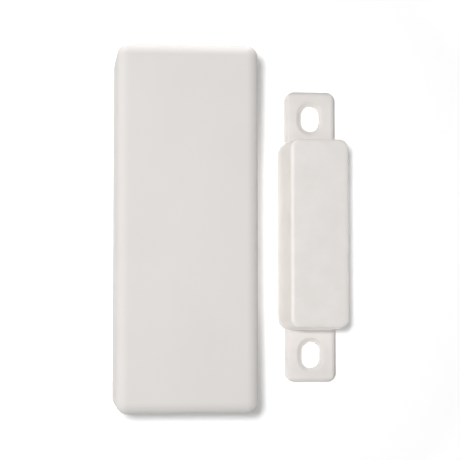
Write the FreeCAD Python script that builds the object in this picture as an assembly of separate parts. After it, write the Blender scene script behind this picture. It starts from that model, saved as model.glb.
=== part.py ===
import FreeCAD, Part
import math
import os

# Wireless door and window contact in two halves: a snap-together transmitter built round one
# lithium cell, and a magnet half with two screw ears that stands beside it.
# Both lie on their backs on z = 0, as they hang on a wall. +Z points out of the wall, +Y is up
# along the frame, and +X points from the transmitter to the magnet half.
# The origin is the centre of the transmitter's back face. Sizes are millimetres and degrees.

Vec = FreeCAD.Vector

# Working allowances
near = 1e-4
overrun = 1.0
overlap = 0.5

# Lithium cell, lying along Y in the base
battery_diameter = 17.0
battery_length = 34.5
battery_edge_chamfer = 0.6
battery_button_radius = 3.1
battery_button_height = 0.9
battery_lift = 0.6
battery_headroom = 0.6
battery_edge_gap = 0.4
saddle_spread = 21.0
saddle_thickness = 1.6
saddle_width = 14.8
saddle_gap = 0.15
saddle_drop = 3.2

# Contact clips at the two ends of the cell
clip_thickness = 0.4
clip_width = 10.0
clip_half_height = 6.2
clip_foot_width = 2.8
clip_foot_length = 2.0
clip_foot_inset = 0.3
clip_dimple_side = 3.2
leaf_bow = 1.2
leaf_width = 4.0
leaf_thickness = 0.3
leaf_half_height = 4.2
contact_gap = 0.1
end_stop_thickness = 1.1
end_stop_width = 9.0

# Moulded housing
base_floor = 1.8
rim_height = 3.2
cover_wall = 2.0
inner_corner_cut = 1.0
top_edge_radius = 2.4
top_corner_rest = 0.07
wall_draft = 1.0
parting_gap = 0.1
back_edge_chamfer = 0.4
parting_chamfer = 0.25
tongue_height = 1.8
tongue_wall = 1.2
tongue_gap = 0.15
end_room = 12.25
pry_notch_width = 8.0
pry_notch_height = 0.9
pry_notch_depth = 1.2

# Snap tabs at the two ends of the base
tab_width = 8.0
tab_thickness = 1.4
tab_top = 9.0
tab_slot = 0.8
tab_gusset_width = 1.0
tab_gusset_reach = 1.4
barb_reach = 0.7
barb_low = 7.0
barb_high = 8.9
barb_flat = 0.3
pocket_gap = 0.25

# Screw holes and wire entry in the base
mount_hole_radius = 2.0
mount_hole_inset = 7.5
mount_pad_side = 8.8
mount_pad_cut = 2.0
mount_pad_height = 0.8
wire_entry_width = 6.0
wire_entry_length = 6.0
wire_entry_radius = 1.0
wire_entry_inset = 0.9

# Circuit board, an L round the cell
board_thickness = 1.6
standoff_height = 4.6
board_side_gap = 0.9
board_notch_gap = 0.5
board_corner_radius = 0.8
strip_width = 7.7
electronics_length = 17.3
support_side = 3.0
support_inset = 2.4

# Screws that hold the board
screw_radius = 1.0
screw_head_radius = 2.0
screw_head_height = 1.4
screw_head_chamfer = 0.5
screw_grip = 4.0
screw_inset = 2.65
screw_terminal_gap = 1.55
screw_pilot_gap = 0.05
screw_board_gap = 0.2
recess_width = 0.55
recess_length = 2.4
recess_depth = 0.8
boss_radius = 2.3
boss_floor = 0.8

# Ribs and posts inside the cover
rib_thickness = 1.2
rib_spread = 16.0
rib_drop = 3.6
rib_gap = 0.3
hold_down_reach = 0.8
hold_down_gap = 0.3
hold_down_inset_high = 8.0
hold_down_inset_low = 9.2
hold_down_inset_notch = 5.2
post_width = 4.4
post_gap = 0.1

# Reed switch beside the magnet half
reed_glass_length = 14.0
reed_glass_radius = 1.1
reed_cavity_length = 9.6
reed_cavity_radius = 0.75
reed_end_chamfer = 0.5
reed_lead_width = 0.5
reed_lead_thickness = 0.3
reed_seal_gap = 0.01
reed_lead_span = 19.4
reed_foot_length = 1.4
reed_bend_radius = 0.4
reed_lift = 0.4
reed_edge_inset = 2.4
reed_blade_width = 1.0
reed_blade_thickness = 0.2
reed_blade_overlap = 1.4
reed_blade_inset = 0.25
reed_contact_gap = 0.12

# Tamper leaf spring that the cover presses
spring_width = 2.0
spring_thickness = 0.25
spring_height = 4.5
spring_foot_length = 2.0
spring_run = 4.0
spring_bend_radius = 0.8
spring_tail = 1.4
spring_below_top = 12.6

# Learn button
button_side = 6.0
button_body_height = 3.4
button_radius = 1.75
button_gap = 0.08
button_stand = 1.5
button_well = 1.6
button_floor_gap = 0.6
button_chamfer = 0.25
button_corner = 0.8
button_inset_x = 3.8
button_inset_y = 4.7
button_leg_width = 0.7
button_leg_reach = 0.9
button_leg_thickness = 0.3

# Screw terminals for a wired contact
terminal_width = 7.4
terminal_depth = 7.2
terminal_height = 8.6
terminal_pitch = 3.5
terminal_step = 2.2
terminal_step_height = 5.4
terminal_inset = 0.4
entry_width = 2.3
entry_height = 2.6
entry_lift = 1.4
entry_depth = 4.2
terminal_screw_radius = 1.35
terminal_slot_width = 0.4
terminal_slot_depth = 0.6
terminal_screw_sink = 0.6
terminal_well_gap = 0.15
clamp_wall = 0.3
clamp_gap = 0.05
clamp_inset = 0.5
clamp_end_gap = 0.2

# Strip loop aerial
aerial_strip_width = 0.8
aerial_thickness = 0.5
aerial_span = 10.4
aerial_height = 7.4
aerial_bend_radius = 1.6
aerial_inset_x = 0.6
aerial_inset_y = 0.7

# Chips and small parts on the board
chip_body_length = 7.2
chip_body_width = 5.3
chip_height = 1.75
chip_standoff = 0.15
chip_lead_span = 7.8
chip_lead_pitch = 0.65
chip_leads_each_side = 10
chip_lead_width = 0.28
radio_body_length = 5.0
radio_body_width = 4.4
radio_lead_span = 6.4
radio_height = 1.1
radio_leads_each_side = 7
lead_thickness = 0.15
lead_root = 0.2
lead_knee_share = 0.4
crystal_length = 5.0
crystal_width = 3.2
crystal_height = 1.2
crystal_corner = 0.7
crystal_chamfer = 0.25
capacitor_radius = 2.0
capacitor_height = 5.4
capacitor_foot = 4.3
capacitor_foot_height = 0.9
capacitor_foot_chamfer = 0.9
capacitor_chamfer = 0.3
inductor_side = 3.0
inductor_height = 1.6
inductor_corner = 0.7
inductor_chamfer = 0.25
led_length = 2.0
led_width = 1.25
led_height = 0.8
led_dome = 0.5
led_inset_x = 1.6
led_inset_y = 12.0
chip_part_length = 1.6
chip_part_width = 0.8
resistor_height = 0.45
resistor_count = 6
resistor_spacing = 2.6
resistor_inset = 1.2
ceramic_height = 0.8
ceramic_count = 3
ceramic_spacing = 5.2
ceramic_inset = 2.9
first_chip_part = 3.0

# Places of the larger parts on the board, from its edges
chip_inset_x = 5.9
chip_inset_y = 4.5
radio_inset_x = 0.6
radio_inset_y = 5.6
crystal_aside = 3.9
crystal_radio_gap = 0.5
capacitor_inset = 3.2
capacitor_screw_gap = 0.6
inductor_inset_x = 3.2
inductor_inset_y = 9.4

# Magnet half
magnet_gap = 7.0
magnet_drop = 0.7
ear_width = 11.7
ear_thickness = 2.0
ear_corner_radius = 2.1
ear_edge_chamfer = 0.35
case_length = 67.6
block_width = 14.8
block_length = 44.0
block_height = 15.2
block_draft = 3.3
block_corner_radius = 2.9
block_edge_radius = 0.9
case_wall = 1.6
case_inner_cut = 1.0
slot_radius = 2.25
slot_length = 6.1
slot_end_inset = 6.25
magnet_width = 7.6
magnet_thickness = 6.0
magnet_length = 32.0
magnet_chamfer = 0.3
magnet_seat_gap = 0.1
crush_rib_thickness = 1.0
crush_rib_spread = 18.0
crush_rib_gap = 0.05
retainer_recess = 0.25
retainer_thickness = 1.2
retainer_gap = 0.2
retainer_post_width = 3.6
retainer_post_spread = 18.0

# Places worked out from the sizes above
board_width = battery_edge_gap + battery_diameter + board_notch_gap + strip_width
board_length = (electronics_length + board_notch_gap + 2.0 * clip_thickness + leaf_bow
                + 2.0 * contact_gap + battery_length + clip_foot_length)
body_width = board_width + 2.0 * (board_side_gap + cover_wall)
body_length = board_length + 2.0 * end_room
battery_z = base_floor + battery_lift + battery_diameter / 2.0
inside_top = battery_z + battery_diameter / 2.0 + battery_headroom
body_height = inside_top + cover_wall
cover_low = rim_height + parting_gap
cover_lean = (body_height - cover_low) * math.tan(math.radians(wall_draft))
corner_radius = top_edge_radius + top_corner_rest + cover_lean
tongue_top = rim_height + tongue_height

board_left = -board_width / 2.0
board_right = board_width / 2.0
board_low = -board_length / 2.0
board_high = board_length / 2.0
board_bottom = base_floor + standoff_height
board_top = board_bottom + board_thickness
battery_x = board_left + battery_edge_gap + battery_diameter / 2.0
strip_left = battery_x + battery_diameter / 2.0 + board_notch_gap
positive_face = board_high - clip_foot_length - clip_thickness
battery_high = positive_face - contact_gap
battery_low = battery_high - battery_length
battery_mid = (battery_high + battery_low) / 2.0
negative_face = battery_low - contact_gap - leaf_bow
notch_low = negative_face - clip_thickness - board_notch_gap

inner_width = body_width - 2.0 * cover_wall
inner_length = body_length - 2.0 * cover_wall
tongue_width = inner_width - 2.0 * tongue_gap
tongue_length = inner_length - 2.0 * tongue_gap
bay_width = tongue_width - 2.0 * tongue_wall
bay_length = tongue_length - 2.0 * tongue_wall
mount_hole_y = body_length / 2.0 - mount_hole_inset
wire_entry_x = -bay_width / 2.0 + wire_entry_inset + wire_entry_width / 2.0
wire_entry_y = -bay_length / 2.0 + wire_entry_inset + wire_entry_length / 2.0

reed_x = board_right - reed_edge_inset
reed_z = board_top + reed_lift + reed_glass_radius
spring_x = (strip_left + board_right) / 2.0
spring_y = board_high - spring_below_top
spring_top = board_top + spring_height
radio_x = strip_left - radio_inset_x
radio_y = notch_low - radio_inset_y
button_x = board_right - button_inset_x
button_y = board_low + button_inset_y
button_body_top = board_top + button_body_height
terminal_x = board_left + terminal_inset + terminal_width / 2.0
terminal_y = board_low + terminal_inset + terminal_depth / 2.0
screw_places = [
    (terminal_x + terminal_width / 2.0 + screw_terminal_gap + screw_head_radius,
     board_low + screw_inset),
    (board_right - screw_inset, board_high - screw_inset),
]
aerial_right = board_right - aerial_inset_x
aerial_left = aerial_right - aerial_span
aerial_y = board_low + aerial_inset_y

magnet_x = body_width / 2.0 + magnet_gap + block_width / 2.0
magnet_y = -magnet_drop
slot_y = case_length / 2.0 - slot_end_inset
magnet_top = block_height - case_wall - magnet_seat_gap
magnet_low = magnet_top - magnet_thickness


def box(x0, x1, y0, y1, z0, z1):
    """Box between two corners."""
    return Part.makeBox(x1 - x0, y1 - y0, z1 - z0, Vec(x0, y0, z0))


def rod(x, y, z0, z1, radius):
    """Upright round rod."""
    return Part.makeCylinder(radius, z1 - z0, Vec(x, y, z0), Vec(0, 0, 1))


def rod_along_y(x, z, y0, y1, radius):
    """Round rod that lies along Y."""
    return Part.makeCylinder(radius, y1 - y0, Vec(x, y0, z), Vec(0, 1, 0))


def end_edges(shape):
    """Round edges at the two ends of a rod along Y."""
    return [e for e in shape.Edges if e.isClosed() and e.BoundBox.YLength < near]


def union(shapes):
    """One solid from overlapping shapes."""
    return shapes[0].multiFuse(shapes[1:]).removeSplitter()


def rounded_outline(x, y, z, width, length, radius):
    """Closed wire of a rectangle with round corners, centred on x and y."""
    hx = width / 2.0
    hy = length / 2.0
    cut = radius * (1.0 - math.sqrt(0.5))
    p = [
        (hx - radius, -hy), (hx - cut, -hy + cut), (hx, -hy + radius),
        (hx, hy - radius), (hx - cut, hy - cut), (hx - radius, hy),
        (-hx + radius, hy), (-hx + cut, hy - cut), (-hx, hy - radius),
        (-hx, -hy + radius), (-hx + cut, -hy + cut), (-hx + radius, -hy),
    ]
    v = [Vec(x + a, y + b, z) for a, b in p]
    edges = []
    for corner in range(4):
        first, middle, last = v[3 * corner:3 * corner + 3]
        edges.append(Part.Arc(first, middle, last).toShape())
        edges.append(Part.makeLine(last, v[(3 * corner + 3) % 12]))
    return Part.Wire(edges)


def rounded_block(x, y, z0, z1, width, length, radius):
    """Upright block with round vertical corners."""
    face = Part.Face(rounded_outline(x, y, z0, width, length, radius))
    return face.extrude(Vec(0, 0, z1 - z0))


def drafted_block(x, y, z0, z1, width, length, radius, draft):
    """Block whose four walls lean in by the draft angle on their way up."""
    lean = (z1 - z0) * math.tan(math.radians(draft))
    low = rounded_outline(x, y, z0, width, length, radius)
    high = rounded_outline(x, y, z1, width - 2.0 * lean, length - 2.0 * lean, radius - lean)
    return Part.makeLoft([low, high], True, True)


def cut_corner_outline(x, y, z, width, length, cut):
    """Closed wire of a rectangle with cut corners, centred on x and y."""
    hx = width / 2.0
    hy = length / 2.0
    corners = [
        (hx - cut, -hy), (hx, -hy + cut), (hx, hy - cut), (hx - cut, hy),
        (-hx + cut, hy), (-hx, hy - cut), (-hx, -hy + cut), (-hx + cut, -hy),
    ]
    points = [Vec(x + a, y + b, z) for a, b in corners]
    return Part.makePolygon(points + points[:1])


def hollow(x, y, z0, z1, width, length, cut, draft):
    """Inside of a moulded shell: cut corners, and walls that lean in by the draft angle."""
    lean = (z1 - z0) * math.tan(math.radians(draft))
    low = cut_corner_outline(x, y, z0, width, length, cut)
    high = cut_corner_outline(x, y, z1, width - 2.0 * lean, length - 2.0 * lean, cut)
    return Part.makeLoft([low, high], True, True)


def cut_corner_block(x, y, z0, z1, width, length, cut):
    """Upright block with cut corners."""
    return hollow(x, y, z0, z1, width, length, cut, 0)


def upright_edges(shape, height):
    """Edges that run straight up over a given height."""
    return [e for e in shape.Edges if abs(e.BoundBox.ZLength - height) < near
            and e.BoundBox.XLength < near and e.BoundBox.YLength < near]


def edges_at_height(shape, z):
    """Edges that lie wholly at one height."""
    return [e for e in shape.Edges
            if abs(e.BoundBox.ZMin - z) < near and abs(e.BoundBox.ZMax - z) < near]


def extruded(points, direction):
    """Solid from a closed polygon of points."""
    wire = Part.makePolygon(points + points[:1])
    return Part.Face(wire).extrude(direction)


def bent_strip(points, thickness, bend_radius, width):
    """Strip bent along points in a YZ plane, to the left of its path, then widened along X."""
    normals = []
    for first, last in zip(points, points[1:]):
        heading = (last - first).normalize()
        normals.append(Vec(0, -heading.z, heading.y) * thickness)
    far = [points[0] + normals[0]]
    for i in range(1, len(points) - 1):
        before, after = normals[i - 1], normals[i]
        share = 1.0 + before.dot(after) / thickness ** 2
        far.append(points[i] + (before + after) * (1.0 / share))
    far.append(points[-1] + normals[-1])
    strip = extruded(points + far[::-1], Vec(width, 0, 0))
    for i in range(1, len(points) - 1):
        turn = normals[i - 1].cross(normals[i]).x
        inner, outer = (far[i], points[i]) if turn > 0 else (points[i], far[i])
        for corner, radius in ((inner, bend_radius), (outer, bend_radius + thickness)):
            edges = [e for e in strip.Edges
                     if e.BoundBox.XLength > width / 2.0
                     and abs(e.CenterOfMass.y - corner.y) + abs(e.CenterOfMass.z - corner.z) < near]
            strip = strip.makeFillet(radius, edges)
    return strip


def mirrored_end(shape):
    """The same form at the other end of the housing."""
    return shape.mirror(Vec(0, 0, 0), Vec(0, 1, 0))


def snap_tab():
    """Springy tab with an outward barb, at the +Y end of the base."""
    outer = tongue_length / 2.0
    half = tab_width / 2.0
    tab = box(-half, half, outer - tab_thickness, outer, base_floor, tab_top)
    slope = barb_reach
    barb = extruded([
        Vec(-half, outer - tab_thickness / 2.0, barb_low),
        Vec(-half, outer, barb_low),
        Vec(-half, outer + slope, barb_low + slope),
        Vec(-half, outer + slope, barb_low + slope + barb_flat),
        Vec(-half, outer, barb_high),
        Vec(-half, outer - tab_thickness / 2.0, barb_high),
    ], Vec(tab_width, 0, 0))
    inner = outer - tab_thickness
    gusset = extruded([
        Vec(-tab_gusset_width / 2.0, inner, base_floor),
        Vec(-tab_gusset_width / 2.0, inner - tab_gusset_reach, base_floor),
        Vec(-tab_gusset_width / 2.0, inner, tongue_top),
    ], Vec(tab_gusset_width, 0, 0))
    offset = half - tab_gusset_width / 2.0
    gussets = [gusset.translated(Vec(side * offset, 0, 0)) for side in (-1, 1)]
    return union([tab, barb] + gussets)


def tab_opening():
    """Gap in the tongue that leaves the +Y tab free to bend."""
    half = tab_width / 2.0 + tab_slot
    return box(-half, half, bay_length / 2.0 - tab_thickness, tongue_length / 2.0 + tongue_gap,
               rim_height, tongue_top + overrun)


def mounting_pad(y):
    """Raised pad round a wall screw hole."""
    return cut_corner_block(0, y, base_floor - overlap, base_floor + mount_pad_height,
                            mount_pad_side, mount_pad_side, mount_pad_cut)


def mounting_hole(y):
    """Through hole for a pan head wall screw."""
    return rod(0, y, -overrun, base_floor + mount_pad_height + overrun, mount_hole_radius)


def cell_room(gap):
    """Round room for the cell, wider than it by the gap all round."""
    return rod_along_y(battery_x, battery_z, battery_low, battery_high,
                       battery_diameter / 2.0 + gap)


def cradle():
    """Two saddles under the cell and a stop behind each contact clip."""
    saddles = []
    for side in (-1, 1):
        y = battery_mid + side * saddle_spread / 2.0
        block = box(battery_x - saddle_width / 2.0, battery_x + saddle_width / 2.0,
                    y - saddle_thickness / 2.0, y + saddle_thickness / 2.0,
                    base_floor - overlap, battery_z - saddle_drop)
        saddles.append(block.cut(cell_room(saddle_gap)))
    back = positive_face + clip_thickness + contact_gap
    high_stop = box(battery_x - end_stop_width / 2.0, battery_x + end_stop_width / 2.0,
                    back, back + end_stop_thickness, base_floor - overlap, battery_z)
    back = negative_face - clip_thickness - contact_gap
    low_stop = box(battery_x - end_stop_width / 2.0, battery_x + end_stop_width / 2.0,
                   back - end_stop_thickness, back, base_floor - overlap, board_bottom - contact_gap)
    return saddles + [high_stop, low_stop]


def board_supports():
    """Screw bosses and plain posts that carry the board."""
    places = [
        (board_left + support_inset, board_low + support_inset),
        (board_right - support_inset, board_low + support_inset),
        (board_right - support_inset, notch_low - support_inset),
    ]
    half = support_side / 2.0
    posts = [box(x - half, x + half, y - half, y + half, base_floor - overlap, board_bottom)
             for x, y in places]
    bosses = [rod(x, y, base_floor - overlap, board_bottom, boss_radius) for x, y in screw_places]
    return posts + bosses


def make_base():
    """Back shell: floor, rim, tongue, snap tabs, cradle, bosses and holes."""
    shell = rounded_block(0, 0, 0, rim_height, body_width, body_length, corner_radius)
    shell = shell.makeChamfer(back_edge_chamfer, edges_at_height(shell, 0))
    shell = shell.makeChamfer(parting_chamfer, edges_at_height(shell, rim_height))
    tongue = cut_corner_block(0, 0, base_floor, tongue_top, tongue_width, tongue_length,
                              inner_corner_cut)
    bay = cut_corner_block(0, 0, base_floor, tongue_top + overrun, bay_width, bay_length,
                           inner_corner_cut / 2.0)
    shell = shell.fuse(tongue).cut(bay)
    shell = shell.cut(tab_opening()).cut(mirrored_end(tab_opening()))
    tab = snap_tab()
    pads = [mounting_pad(mount_hole_y), mounting_pad(-mount_hole_y)]
    shell = union([shell, tab, mirrored_end(tab)] + pads + cradle() + board_supports())
    shell = shell.cut(mounting_hole(mount_hole_y)).cut(mounting_hole(-mount_hole_y))
    shell = shell.cut(rounded_block(wire_entry_x, wire_entry_y, -overrun, base_floor + overrun,
                                    wire_entry_width, wire_entry_length, wire_entry_radius))
    for x, y in screw_places:
        shell = shell.cut(rod(x, y, boss_floor, board_bottom + overrun,
                              screw_radius + screw_pilot_gap))
    return shell


def cover_ribs():
    """Ribs over the cell, hold-down ribs over the board edge and the tamper post."""
    ribs = []
    wall = inner_width / 2.0 + overlap
    top = inside_top + overlap
    for side in (-1, 1):
        y = battery_mid + side * rib_spread / 2.0
        rib = box(-wall, strip_left + overlap, y - rib_thickness / 2.0,
                  y + rib_thickness / 2.0, battery_z + rib_drop, top)
        ribs.append(rib.cut(cell_room(rib_gap)))
    low = board_top + hold_down_gap
    for edge, y in ((board_right, board_high - hold_down_inset_high),
                    (board_right, board_low + hold_down_inset_low),
                    (board_left, notch_low - hold_down_inset_notch)):
        side = math.copysign(1.0, edge)
        inner = edge - side * hold_down_reach
        ribs.append(box(min(inner, side * wall), max(inner, side * wall),
                        y - rib_thickness / 2.0, y + rib_thickness / 2.0, low, top))
    half = rib_thickness / 2.0
    arm = post_width / 2.0
    low = spring_top + post_gap
    ribs.append(box(spring_x - arm, spring_x + arm, spring_y - half, spring_y + half, low, top))
    ribs.append(box(spring_x - half, spring_x + half, spring_y - arm, spring_y + arm, low, top))
    ribs.append(box(spring_x, wall, spring_y - half, spring_y + half, low + arm, top))
    return ribs


def make_cover():
    """Front shell with drafted walls, soft front edge, ribs and snap pockets."""
    outer = drafted_block(0, 0, cover_low, body_height, body_width, body_length,
                          corner_radius, wall_draft)
    outer = outer.makeFillet(top_edge_radius, edges_at_height(outer, body_height))
    inner = hollow(0, 0, cover_low, inside_top, inner_width, inner_length,
                   inner_corner_cut, wall_draft)
    trimmed = [rib.common(outer) for rib in cover_ribs()]
    shell = union([outer.cut(inner)] + trimmed)
    barb_tip = tongue_length / 2.0 + barb_reach
    half = tab_width / 2.0 + pocket_gap
    pocket = box(-half, half, inner_length / 2.0 - cover_wall, barb_tip + pocket_gap,
                 barb_low - pocket_gap, barb_high + pocket_gap)
    shell = shell.cut(pocket).cut(mirrored_end(pocket))
    end = -body_length / 2.0
    pry_notch = box(-pry_notch_width / 2.0, pry_notch_width / 2.0, end - overrun,
                    end + pry_notch_depth, cover_low - overrun, cover_low + pry_notch_height)
    return shell.cut(pry_notch)


def make_circuit_board():
    """L-shaped board with its two screw holes."""
    outline = [
        Vec(board_left, board_low, board_bottom),
        Vec(board_right, board_low, board_bottom),
        Vec(board_right, board_high, board_bottom),
        Vec(strip_left, board_high, board_bottom),
        Vec(strip_left, notch_low, board_bottom),
        Vec(board_left, notch_low, board_bottom),
    ]
    board = extruded(outline, Vec(0, 0, board_thickness))
    board = board.makeFillet(board_corner_radius, upright_edges(board, board_thickness))
    for x, y in screw_places:
        board = board.cut(rod(x, y, board_bottom - overrun, board_top + overrun,
                              screw_radius + screw_board_gap))
    return board


def make_board_screw(x, y):
    """Pan head self-tapping screw with a cross recess."""
    top = board_top + screw_head_height
    tip = board_bottom - screw_grip
    head = rod(x, y, board_top, top, screw_head_radius)
    head = head.makeChamfer(screw_head_chamfer, edges_at_height(head, top))
    screw = union([head, rod(x, y, tip, board_top, screw_radius)])
    arm = recess_length / 2.0
    half = recess_width / 2.0
    low = top - recess_depth
    cross = box(x - arm, x + arm, y - half, y + half, low, top + overrun)
    cross = cross.fuse(box(x - half, x + half, y - arm, y + arm, low, top + overrun))
    return screw.cut(cross)


def make_battery():
    """Lithium cell: a plain can with a raised positive button."""
    can = rod_along_y(battery_x, battery_z, battery_low, battery_high - battery_button_height,
                      battery_diameter / 2.0)
    can = can.makeChamfer(battery_edge_chamfer, end_edges(can))
    button = rod_along_y(battery_x, battery_z, battery_mid, battery_high, battery_button_radius)
    return union([can, button])


def bent_foot(y_plate, direction, x0, x1):
    """Foot of a contact clip, bent flat on to the board."""
    reach = y_plate + direction * (clip_foot_length + clip_thickness)
    return box(x0, x1, min(y_plate, reach), max(y_plate, reach), board_top,
               board_top + clip_thickness)


def make_positive_clip():
    """Spring steel plate with a dimple for the button, soldered to the board strip."""
    back = positive_face + clip_thickness
    plate = box(battery_x - clip_width / 2.0, battery_x + clip_width / 2.0, positive_face, back,
                battery_z - clip_half_height, battery_z + clip_half_height)
    arm_top = board_top + clip_foot_width
    arm = box(battery_x, strip_left + clip_foot_width, positive_face, back, board_top, arm_top)
    foot = bent_foot(positive_face, 1.0, strip_left + clip_foot_inset,
                     strip_left + clip_foot_width)
    half = clip_dimple_side / 2.0
    dimple = box(battery_x - half, battery_x + half, positive_face - contact_gap, back,
                 battery_z - half, battery_z + half)
    return union([plate, arm, foot, dimple])


def make_negative_clip():
    """Spring steel plate with a bowed leaf that pushes the cell, soldered to the board."""
    back = negative_face - clip_thickness
    plate = box(battery_x - clip_width / 2.0, battery_x + clip_width / 2.0, back, negative_face,
                battery_z - clip_half_height, battery_z + clip_half_height)
    right = battery_x + clip_width / 2.0
    foot = bent_foot(negative_face, -1.0, right - clip_foot_width, right)
    left = battery_x - leaf_width / 2.0
    low = battery_z - leaf_half_height
    high = battery_z + leaf_half_height
    crown = negative_face + leaf_bow
    outer = [Vec(left, negative_face, low), Vec(left, crown, battery_z),
             Vec(left, negative_face, high)]
    inner = [Vec(left, negative_face, high - leaf_thickness),
             Vec(left, crown - leaf_thickness, battery_z),
             Vec(left, negative_face, low + leaf_thickness)]
    outline = Part.Wire([Part.Arc(*outer).toShape(), Part.makeLine(outer[2], inner[0]),
                         Part.Arc(*inner).toShape(), Part.makeLine(inner[2], outer[0])])
    leaf = Part.Face(outline).extrude(Vec(leaf_width, 0, 0))
    return union([plate, foot, leaf])


def make_reed_glass():
    """Sealed glass tube, hollow round the blades, closed on the flat leads at its ends."""
    half = reed_glass_length / 2.0
    tube = rod_along_y(reed_x, reed_z, -half, half, reed_glass_radius)
    tube = tube.makeChamfer(reed_end_chamfer, end_edges(tube))
    room = rod_along_y(reed_x, reed_z, -reed_cavity_length / 2.0, reed_cavity_length / 2.0,
                       reed_cavity_radius)
    seal_x = reed_lead_width / 2.0 + reed_seal_gap
    seal_z = reed_lead_thickness / 2.0 + reed_seal_gap
    seal = box(reed_x - seal_x, reed_x + seal_x, -half - overrun, half + overrun, reed_z - seal_z,
               reed_z + seal_z)
    return tube.cut(room.fuse(seal))


def make_reed_lead(side):
    """Flat lead and blade of one contact: side 1 enters from +Y, side -1 from -Y."""
    left = reed_x - reed_lead_width / 2.0
    low = reed_z - reed_lead_thickness / 2.0
    leg_y = reed_lead_span / 2.0
    blade_end = reed_cavity_length / 2.0 - reed_blade_inset
    lead = bent_strip([Vec(left, blade_end - reed_blade_inset, low), Vec(left, leg_y, low),
                       Vec(left, leg_y, board_top), Vec(left, leg_y + reed_foot_length, board_top)],
                      reed_lead_thickness, reed_bend_radius, reed_lead_width)
    middle = reed_z + side * (reed_contact_gap + reed_blade_thickness) / 2.0
    blade = box(reed_x - reed_blade_width / 2.0, reed_x + reed_blade_width / 2.0,
                -reed_blade_overlap / 2.0, blade_end,
                middle - reed_blade_thickness / 2.0, middle + reed_blade_thickness / 2.0)
    both = union([lead, blade])
    return both if side > 0 else mirrored_end(both)


def make_tamper_spring():
    """Leaf spring whose crown lies under the post in the cover."""
    left = spring_x - spring_width / 2.0
    foot = spring_y - spring_run
    return bent_strip([Vec(left, foot - spring_foot_length, board_top), Vec(left, foot, board_top),
                       Vec(left, spring_y, spring_top),
                       Vec(left, spring_y + spring_tail, spring_top - spring_tail)],
                      spring_thickness, spring_bend_radius, spring_width)


def make_learn_button_body():
    """Square tactile switch body with a round well and four bent legs."""
    half = button_side / 2.0
    body = box(button_x - half, button_x + half, button_y - half, button_y + half, board_top,
               button_body_top)
    body = body.makeChamfer(button_corner, upright_edges(body, button_body_height))
    legs = []
    for side_x in (-1, 1):
        for side_y in (-1, 1):
            y = button_y + side_y * (half - button_corner - button_leg_width / 2.0)
            inner = button_x + side_x * (half - overlap)
            outer = button_x + side_x * (half + button_leg_reach)
            legs.append(box(min(inner, outer), max(inner, outer), y - button_leg_width / 2.0,
                            y + button_leg_width / 2.0, board_top,
                            board_top + button_leg_thickness))
    well = rod(button_x, button_y, button_body_top - button_well, button_body_top + overrun,
               button_radius + button_gap)
    return union([body] + legs).cut(well)


def make_learn_button():
    """Round plunger of the switch, pressed in towards the board."""
    top = button_body_top + button_stand
    cap = rod(button_x, button_y, button_body_top - button_well + button_floor_gap, top,
              button_radius)
    return cap.makeChamfer(button_chamfer, edges_at_height(cap, top))


def make_terminal_block():
    """Two-way screw terminal with wire entries at its lower end."""
    x0 = terminal_x - terminal_width / 2.0
    low = terminal_y - terminal_depth / 2.0
    high = terminal_y + terminal_depth / 2.0
    ledge = board_top + terminal_step_height
    top = board_top + terminal_height
    body = extruded([
        Vec(x0, low, board_top), Vec(x0, high, board_top), Vec(x0, high, ledge + overrun),
        Vec(x0, high - terminal_step, top), Vec(x0, low + terminal_step, top),
        Vec(x0, low, ledge),
    ], Vec(terminal_width, 0, 0))
    for side in (-1, 1):
        x = terminal_x + side * terminal_pitch / 2.0
        body = body.cut(box(x - entry_width / 2.0, x + entry_width / 2.0, low - overrun,
                            low + entry_depth, board_top + entry_lift,
                            board_top + entry_lift + entry_height))
        body = body.cut(rod(x, terminal_y, board_top + entry_lift + entry_height / 2.0, top + overrun,
                            terminal_screw_radius + terminal_well_gap))
    return body


def make_terminal_screw(side):
    """Slotted clamp screw of one terminal."""
    x = terminal_x + side * terminal_pitch / 2.0
    head_top = board_top + terminal_height - terminal_screw_sink
    tip = board_top + entry_lift + entry_height
    screw = rod(x, terminal_y, tip, head_top, terminal_screw_radius)
    half = terminal_slot_width / 2.0
    arm = terminal_screw_radius + overrun
    return screw.cut(box(x - arm, x + arm, terminal_y - half, terminal_y + half,
                         head_top - terminal_slot_depth, head_top + overrun))


def make_terminal_clamp(side):
    """Bent metal cage round one wire entry."""
    x = terminal_x + side * terminal_pitch / 2.0
    front = terminal_y - terminal_depth / 2.0
    low = front + clamp_inset
    high = front + entry_depth - clamp_end_gap
    half = entry_width / 2.0 - clamp_gap
    z0 = board_top + entry_lift + clamp_gap
    z1 = board_top + entry_lift + entry_height - clamp_gap
    cage = box(x - half, x + half, low, high, z0, z1)
    room = box(x - half + clamp_wall, x + half - clamp_wall, low - overrun, high + overrun,
               z0 + clamp_wall, z1 - clamp_wall)
    return cage.cut(room)


def make_aerial():
    """Flat strip loop that stands on edge over the lower end of the board."""
    top = board_top + aerial_height
    y = aerial_y - aerial_thickness / 2.0
    strip = aerial_strip_width
    outer = box(aerial_left, aerial_right, y, y + aerial_thickness, board_top, top)
    room = box(aerial_left + strip, aerial_right - strip, y - overrun,
               y + aerial_thickness + overrun, board_top - overrun, top - strip)
    loop = outer.cut(room)
    for x, z, radius in ((aerial_left, top, aerial_bend_radius),
                         (aerial_right, top, aerial_bend_radius),
                         (aerial_left + strip, top - strip, aerial_bend_radius - strip),
                         (aerial_right - strip, top - strip, aerial_bend_radius - strip)):
        corner = [e for e in loop.Edges if e.BoundBox.YLength > aerial_thickness / 2.0
                  and abs(e.CenterOfMass.x - x) + abs(e.CenterOfMass.z - z) < near]
        loop = loop.makeFillet(radius, corner)
    return loop


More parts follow.
